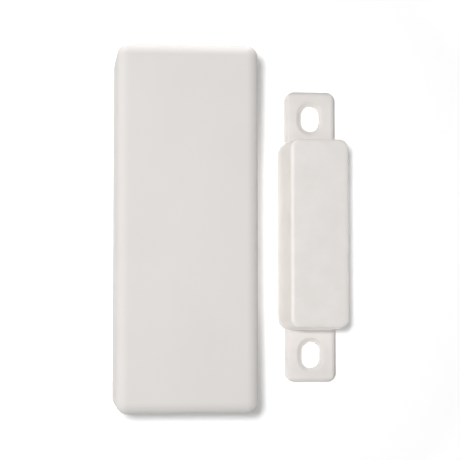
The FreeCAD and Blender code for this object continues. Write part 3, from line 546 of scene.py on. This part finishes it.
def finish_nodes():
    """Gives each CAD node its material."""
    abs_plastic = moulded_abs()
    thin_abs = thin_moulded_abs()
    zinc = zinc_plated_steel()
    spring = nickel_plated_spring_steel()
    reed_alloy = tinned_nickel_iron()
    looks = {
        "base": abs_plastic,
        "cover": abs_plastic,
        "circuit_board": masked_laminate(),
        "board_screws": zinc,
        "battery": sleeved_cell(),
        "battery_clip_positive": spring,
        "battery_clip_negative": spring,
        "reed_glass": sealing_glass(),
        "reed_lead_upper": reed_alloy,
        "reed_lead_lower": reed_alloy,
        "tamper_spring": spring,
        "learn_button_body": switch_nylon(),
        "learn_button": plunger_nylon(),
        "terminal_block": terminal_polyamide(),
        "terminal_screws": zinc,
        "terminal_clamps": tinned_brass(),
        "aerial": tinned_copper(),
        "microcontroller": chip_epoxy("microcontroller", body_half_mm=2.66),
        "radio_chip": chip_epoxy("radio_chip", body_half_mm=2.21),
        "crystal": drawn_nickel_can(),
        "electrolytic_capacitor": drawn_aluminium_can(),
        "inductor": choke_ferrite(),
        "status_led": led_resin(),
        "chip_resistors": end_capped("film_on_ceramic", "chip_resistors", RESISTORS,
                                     RESISTOR_SPACING, body_mm=0.9, pale="222224",
                                     deep="1A1A1C"),
        "chip_capacitors": end_capped("barium_ceramic", "chip_capacitors", CERAMICS,
                                      CERAMIC_SPACING, body_mm=0.8, pale="B59A78",
                                      deep="A68B69"),
        "magnet_case": thin_abs,
        "bar_magnet": sintered_ferrite(),
        "magnet_retainer": thin_abs,
    }
    for name, material in looks.items():
        for slot in nodes[name].material_slots:
            slot.material = material


def box_mm(node):
    """Lowest and highest corner of a CAD node in millimetres."""
    low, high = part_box(node)
    return low / MM, high / MM


def middle_mm(node):
    """Middle of a CAD node in millimetres."""
    low, high = box_mm(node)
    return (low + high) / 2.0


def put(name, bm, material):
    """Turns a mesh built in millimetres into a piece on the transmitter."""
    bmesh.ops.scale(bm, vec=(MM, MM, MM), verts=bm.verts)
    bmesh.ops.recalc_face_normals(bm, faces=bm.faces)
    mesh = bpy.data.meshes.new(name)
    bm.to_mesh(mesh)
    bm.free()
    mesh.materials.append(material)
    piece = bpy.data.objects.new(name, mesh)
    bpy.context.scene.collection.objects.link(piece)
    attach(piece, "transmitter")


def ribbon(bm, points, width, low, top):
    """Flat strip along a line of points, mitred at its bends; it closes if the ends meet."""
    line = [Vector(p) for p in points]
    closed = (line[0] - line[-1]).length < 1e-6
    rows = []
    for i, here in enumerate(line):
        before = line[i - 1] if i else (line[-2] if closed else None)
        after = line[i + 1] if i + 1 < len(line) else (line[1] if closed else None)
        leaving = (after - here).normalized() if after else (here - before).normalized()
        arriving = (here - before).normalized() if before else leaving
        along = (arriving + leaving).normalized()
        aside = Vector((-along.y, along.x)) * (width / 2.0 / along.dot(leaving))
        corners = ((here - aside, low), (here + aside, low), (here + aside, top),
                   (here - aside, top))
        rows.append([bm.verts.new((p.x, p.y, z)) for p, z in corners])
    for first, second in zip(rows, rows[1:]):
        for k in range(4):
            j = (k + 1) % 4
            bm.faces.new((first[k], first[j], second[j], second[k]))
    if not closed:
        bm.faces.new(rows[0])
        bm.faces.new(rows[-1])


def mound(bm, x, y, half_x, half_y, height, base_z):
    """Low round heap that stands half sunk at base_z."""
    place = Matrix.Translation((x, y, base_z)) @ Matrix.Diagonal((half_x, half_y, height, 1.0))
    bmesh.ops.create_uvsphere(bm, u_segments=12, v_segments=6, radius=1.0, matrix=place)


def chip_leads(node, count):
    """Places of a chip's lead tips, in two rows along X."""
    low, high = box_mm(node)
    first = middle_mm(node).x - (count - 1) / 2.0 * LEAD_PITCH
    return [(first + i * LEAD_PITCH, y) for i in range(count) for y in (low.y, high.y)]


def column_ends(node, count, spacing):
    """Places of the two ends of each small part in a column along Y."""
    first = box_mm(node)[0].y
    x = middle_mm(node).x
    return [(x, first + i * spacing + end) for i in range(count) for end in (0.0, CHIP_LENGTH)]


def inset(low, high, from_low, from_high):
    """Places in from the two sides of a part, or its middle if no side is given."""
    places = []
    if from_low is not None:
        places.append(low + from_low)
    if from_high is not None:
        places.append(high - from_high)
    return places or [(low + high) / 2.0]


def solder_joints():
    """Solder fillets where leads, feet and end caps meet the board."""
    bm = bmesh.new()
    board = box_mm("circuit_board")[1].z
    # Part, fillets in from its left and right, in from its lower and upper end, and their
    # half width, half length and height
    legs = (("reed_lead_upper", (None, None), (None, REED_FOOT), (0.6, 0.85, 0.3)),
            ("reed_lead_lower", (None, None), (REED_FOOT, None), (0.6, 0.85, 0.3)),
            ("aerial", (AERIAL_FOOT, AERIAL_FOOT), (None, None), (0.65, 0.6, 0.4)),
            ("battery_clip_positive", (None, 1.25), (None, 0.95), (1.5, 0.85, 0.3)),
            ("battery_clip_negative", (None, 1.4), (0.95, None), (1.7, 0.9, 0.3)),
            ("tamper_spring", (None, None), (0.9, None), (1.25, 0.8, 0.18)),
            ("learn_button_body", (0.35, 0.45), (1.15, 1.15), (0.35, 0.55, 0.3)),
            ("electrolytic_capacitor", (0.0, 0.0), (None, None), (0.55, 0.5, 0.35)),
            ("inductor", (0.0, 0.0), (None, None), (0.45, 1.0, 0.5)),
            ("status_led", (None, None), (0.0, 0.0), (0.5, 0.3, 0.35)),
            ("crystal", (0.7, 0.7), (0.1, 0.1), (0.6, 0.35, 0.2)))
    for node, sides, ends, fillet in legs:
        low, high = box_mm(node)
        for x in inset(low.x, high.x, *sides):
            for y in inset(low.y, high.y, *ends):
                mound(bm, x, y, *fillet, board)
    cap_fillet = (0.42, 0.28, 0.3)
    for x, y in (column_ends("chip_resistors", RESISTORS, RESISTOR_SPACING)
                 + column_ends("chip_capacitors", CERAMICS, CERAMIC_SPACING)):
        mound(bm, x, y, *cap_fillet, board)
    lead_fillet = (0.18, 0.35, 0.12)
    for x, y in chip_leads("microcontroller", count=10) + chip_leads("radio_chip", count=7):
        mound(bm, x, y, *lead_fillet, board)
    for face in bm.faces:
        face.smooth = True
    put("solder_joints", bm, reflowed_solder())


def reed_tracks(track, edge, neck):
    """Lower lead to the microcontroller between the chips, upper one to the radio by the edge."""
    reed = middle_mm("reed_glass").x
    reed_low = box_mm("reed_lead_lower")[0].y + REED_FOOT
    reed_high = box_mm("reed_lead_upper")[1].y - REED_FOOT
    chip_right = box_mm("microcontroller")[1].x
    radio = box_mm("radio_chip")[1]
    track([(reed, reed_low), (reed, neck + 0.9), (reed - 1.0, neck), (chip_right + 1.0, neck),
           (chip_right, neck - 1.0)], SIGNAL_WIDTH)
    lane = edge - 0.7
    track([(reed, reed_high), (lane, reed_high - (lane - reed)), (lane, radio.y - 1.0),
           (lane - 1.0, radio.y - 2.0), (radio.x + 0.6, radio.y - 2.0)], SIGNAL_WIDTH)


def supply_tracks(track, edge):
    """From the cell's positive clip to the resistors, and from the capacitor to the radio chip."""
    clip = box_mm("battery_clip_positive")[1]
    column = middle_mm("chip_resistors").x
    track([(clip.x - 1.25, clip.y - 1.0), (clip.x - 1.25, clip.y - 3.6), (column, clip.y - 4.0),
           (column, box_mm("chip_resistors")[1].y)], SUPPLY_WIDTH)
    capacitor = middle_mm("electrolytic_capacitor")
    bend = capacitor.y - 2.8
    track([(capacitor.x, capacitor.y), (capacitor.x, bend), (edge, bend - (edge - capacitor.x)),
           (edge, box_mm("radio_chip")[0].y)], BRANCH_WIDTH)


def small_part_tracks(track, edge, neck):
    """Between the resistors, from the ceramic capacitors to them, and on from both columns."""
    column = middle_mm("chip_resistors").x
    second = middle_mm("chip_capacitors").x
    first = box_mm("chip_resistors")[0].y
    for i in range(RESISTORS - 1):
        y = first + CHIP_LENGTH + RESISTOR_SPACING * i
        track([(column, y), (column, y + RESISTOR_SPACING - CHIP_LENGTH)], LINK_WIDTH)
    ceramic = box_mm("chip_capacitors")[0].y
    for i in range(CERAMICS):
        y = ceramic + CERAMIC_SPACING * i + CHIP_LENGTH
        track([(second, y), (second, y + 0.8), (column, y + 0.8 + second - column)], SIGNAL_WIDTH)
    lane = column - 0.6
    track([(column, first), (column, neck + 0.6), (lane, neck),
           (lane, box_mm("radio_chip")[1].y - 0.6)], SIGNAL_WIDTH)
    track([(second, ceramic), (second, neck + 1.4), (second + 0.8, neck + 0.6),
           (edge, neck + 0.6)], SIGNAL_WIDTH)


def chip_tracks(track):
    """From the aerial to the radio chip, and the bus from chip to chip."""
    radio = box_mm("radio_chip")[0]
    foot = box_mm("aerial")[0].x + AERIAL_FOOT
    lane = foot + 1.2
    track([(foot, middle_mm("aerial").y), (foot, radio.y - 2.0), (lane, radio.y - 0.8),
           (lane, radio.y + 0.2)], AERIAL_WIDTH)
    low, high = box_mm("microcontroller")
    start = low.y - 0.1
    bend = 0.8
    for i in range(BUS_TRACKS):
        x = high.x - bend - LEAD_PITCH * i
        step = BUS_STEP * i
        turn = start - 0.6 - step
        track([(x, start), (x, turn), (x + bend, turn - bend), (radio.x - 0.9 - step, turn - bend)],
              BUS_WIDTH)


def screw_rings(track):
    """Ring of copper round each board screw."""
    low, high = box_mm("board_screws")
    head_radius = 2.0
    ring_radius = 2.25
    corners = 32
    for x, y in ((low.x + head_radius, low.y + head_radius),
                 (high.x - head_radius, high.y - head_radius)):
        turns = [2.0 * math.pi * i / corners for i in range(corners + 1)]
        track([(x + ring_radius * math.cos(a), y + ring_radius * math.sin(a)) for a in turns],
              RING_WIDTH)


def board_tracks():
    """Copper tracks under the mask, from part to part, with a ring round each board screw."""
    bm = bmesh.new()
    board = box_mm("circuit_board")[1]
    # Lane along the board's right edge, and the neck between the two chips
    edge = board.x - 0.7
    neck = box_mm("radio_chip")[1].y + 1.0

    def track(points, width):
        ribbon(bm, points, width, board.z - TRACK_RISE, board.z + TRACK_RISE)

    reed_tracks(track, edge, neck)
    supply_tracks(track, edge)
    small_part_tracks(track, edge, neck)
    chip_tracks(track)
    screw_rings(track)
    put("board_tracks", bm, masked_copper())


def board_legend():
    """White outlines screened round the parts, with a dot at each chip's first lead."""
    bm = bmesh.new()
    board = box_mm("circuit_board")[1].z
    margins = {"microcontroller": 0.3, "radio_chip": 0.3, "crystal": 0.35, "inductor": 0.35,
               "electrolytic_capacitor": 0.35, "status_led": 0.55, "reed_glass": 0.35}
    for node, margin in margins.items():
        low, high = box_mm(node)
        x0, x1, y0, y1 = low.x - margin, high.x + margin, low.y - margin, high.y + margin
        ribbon(bm, [(x0, y0), (x1, y0), (x1, y1), (x0, y1), (x0, y0)], INK_WIDTH,
               board - INK_RISE, board + INK_RISE)
    dot = (0.22, 0.22, INK_RISE)
    for node in ("microcontroller", "radio_chip"):
        low = box_mm(node)[0]
        mound(bm, low.x - 0.75, low.y + 0.4, *dot, board)
    put("board_legend", bm, board_ink())


def lay_floor():
    """White floor: white to the camera, and a plain diffuser that takes the shadow."""
    bm = bmesh.new()
    bmesh.ops.create_grid(bm, x_segments=1, y_segments=1, size=FLOOR_HALF)
    mesh = bpy.data.meshes.new("floor")
    bm.to_mesh(mesh)
    bm.free()
    floor = bpy.data.objects.new("floor", mesh)
    bpy.context.scene.collection.objects.link(floor)
    floor.location.z = cad_low.z - FLOOR_GAP
    material, tree = new_material("floor_paint")
    place = add(tree, "ShaderNodeTexCoord", output="Object")
    distance = add(tree, "ShaderNodeVectorMath", {"operation": "LENGTH", 0: place}, "Value")
    far = add(tree, "ShaderNodeMapRange",
              {"interpolation_type": "SMOOTHSTEP", "Value": distance,
               "From Min": FLOOR_SWEEP[0], "From Max": FLOOR_SWEEP[1]}, "Result")
    lift = add(tree, "ShaderNodeMath", {"operation": "MAXIMUM", 0: far, 1: FLOOR_LIFT})
    seen = add(tree, "ShaderNodeMath", {"operation": "MULTIPLY", 0: lift, 1: seen_directly(tree)})
    diffuse = add(tree, "ShaderNodeBsdfDiffuse", {"Color": FLOOR_PAINT})
    glow = add(tree, "ShaderNodeEmission", {"Color": WHITE, "Strength": seen})
    both = add(tree, "ShaderNodeAddShader", {0: diffuse, 1: glow})
    add(tree, "ShaderNodeOutputMaterial", {"Surface": both})
    mesh.materials.append(material)


def seen_directly(tree):
    """Mask that is 1 for what the camera sees, also in a reflection or through glass."""
    camera = add(tree, "ShaderNodeLightPath", output="Is Camera Ray")
    rays = camera.node.outputs
    first = add(tree, "ShaderNodeMath",
                {"operation": "MAXIMUM", 0: camera, 1: rays["Is Glossy Ray"]})
    return add(tree, "ShaderNodeMath",
               {"operation": "MAXIMUM", 0: first, 1: rays["Is Transmission Ray"]})


def light_world():
    """Even, weak light from all sides; the camera sees it white, and metals see it grey."""
    world = bpy.data.worlds.new("studio")
    world.use_nodes = True
    tree = world.node_tree
    tree.nodes.clear()
    camera = add(tree, "ShaderNodeLightPath", output="Is Camera Ray")
    rays = camera.node.outputs
    mirrored = add(tree, "ShaderNodeMath",
                   {"operation": "MULTIPLY_ADD", 0: rays["Is Glossy Ray"],
                    1: WORLD_MIRRORED - WORLD_SOFT, 2: WORLD_SOFT})
    straight = add(tree, "ShaderNodeMath",
                   {"operation": "MAXIMUM", 0: camera, 1: rays["Is Transmission Ray"]})
    level = add(tree, "ShaderNodeMath", {"operation": "MAXIMUM", 0: mirrored, 1: straight})
    light = add(tree, "ShaderNodeBackground", {"Color": WHITE, "Strength": level})
    add(tree, "ShaderNodeOutputWorld", {"Surface": light})
    bpy.context.scene.world = world


def hang_reflector(name, towards, level):
    """Sun-like lamp without shadows; at level 1 it makes a white diffuser that faces it white."""
    lamp = bpy.data.lights.new(name, "SUN")
    lamp.energy = level * math.pi
    lamp.angle = math.radians(REFLECTOR_SPREAD)
    lamp.use_shadow = False
    hung = bpy.data.objects.new(name, lamp)
    hung.rotation_euler = Vector(towards).to_track_quat("Z", "Y").to_euler()
    bpy.context.scene.collection.objects.link(hung)


def hang_card(name, place_mm, towards, width_mm, height_mm, watts, beam_deg, shadow=False):
    """Small bright card beside a piece, which lights the side that faces it."""
    lamp = bpy.data.lights.new(name, "AREA")
    lamp.shape = "RECTANGLE"
    lamp.size = width_mm * MM
    lamp.size_y = height_mm * MM
    lamp.energy = watts
    lamp.spread = math.radians(beam_deg)
    lamp.use_shadow = shadow
    hung = bpy.data.objects.new(name, lamp)
    hung.location = Vector(place_mm) * MM
    hung.rotation_euler = (-Vector(towards)).to_track_quat("Z", "Y").to_euler()
    hung.visible_camera = False
    bpy.context.scene.collection.objects.link(hung)


def hang_overhead():
    """Round lamp not far above, which draws the narrow shadows that widen to the right."""
    lamp = bpy.data.lights.new("overhead", "POINT")
    lamp.shadow_soft_size = OVERHEAD_RADIUS
    lit = Vector((0.0, 0.0, box_mm("cover")[1].z)) * MM
    lamp.energy = OVERHEAD_LEVEL * 4.0 * math.pi ** 2 * (OVERHEAD_PLACE - lit).length_squared
    hung = bpy.data.objects.new("overhead", lamp)
    hung.location = OVERHEAD_PLACE
    bpy.context.scene.collection.objects.link(hung)


def hang_reflectors():
    """Four weak reflectors low round the object."""
    rise = math.sin(math.radians(REFLECTOR_RISE))
    for name, across, up, level in (("reflector_top", 0.0, 1.0, 0.12),
                                    ("reflector_left", -1.0, 0.0, 0.28),
                                    ("reflector_bottom", 0.0, -1.0, 0.06),
                                    ("reflector_right", 1.0, 0.0, 0.05)):
        hang_reflector(name, (across, up, rise), level)


def hang_cards():
    """Cards at the cover's top end, the magnet block's lower end, between them and at its right."""
    low, high = box_mm("cover")
    hang_card("card_top", (0.0, high.y + 20.0, high.z - 6.5), (0.0, -1.0, 0.0),
              width_mm=high.x - low.x, height_mm=18.0, watts=0.0011, beam_deg=NARROW_BEAM)
    cover_right = high.x
    low, high = box_mm("magnet_case")
    middle = (low + high) / 2.0
    hang_card("card_bottom", (middle.x, low.y - 50.0, middle.z), (0.0, 1.0, 0.0),
              width_mm=high.x - low.x, height_mm=12.0, watts=0.00018, beam_deg=NARROW_BEAM)
    hang_card("card_between", (cover_right + 1.5, middle.y, high.z - 3.0), (1.0, 0.0, 0.0),
              width_mm=2.0 * BLOCK_HALF, height_mm=6.0, watts=0.00007, beam_deg=WIDE_BEAM)
    # This one stands just beyond the way that the magnet half travels
    hang_card("card_right", (high.x + 32.0, middle.y, middle.z + 1.0), (-1.0, 0.0, 0.0),
              width_mm=2.0 * BLOCK_HALF, height_mm=high.z, watts=0.0005, beam_deg=NARROW_BEAM,
              shadow=True)


def place_camera():
    """Camera of the photograph, with the top of the picture along +Y."""
    data = bpy.data.cameras.new("camera")
    data.sensor_width = SENSOR_WIDTH
    data.lens = FOCAL_PIXELS * SENSOR_WIDTH / PHOTO_WIDTH
    data.clip_start = 0.01
    camera = bpy.data.objects.new("camera", data)
    back = (CAMERA_PLACE - CAMERA_AIM).normalized()
    right = Vector((0.0, 1.0, 0.0)).cross(back).normalized()
    up = back.cross(right)
    turn = Matrix((right, up, back)).transposed().to_4x4()
    camera.matrix_world = Matrix.Translation(CAMERA_PLACE) @ turn
    bpy.context.scene.collection.objects.link(camera)
    bpy.context.scene.camera = camera


bpy.context.scene.view_settings.view_transform = "Standard"
place_camera()
light_world()
hang_overhead()
hang_reflectors()
hang_cards()
lay_floor()
finish_nodes()
board_tracks()
board_legend()
solder_joints()
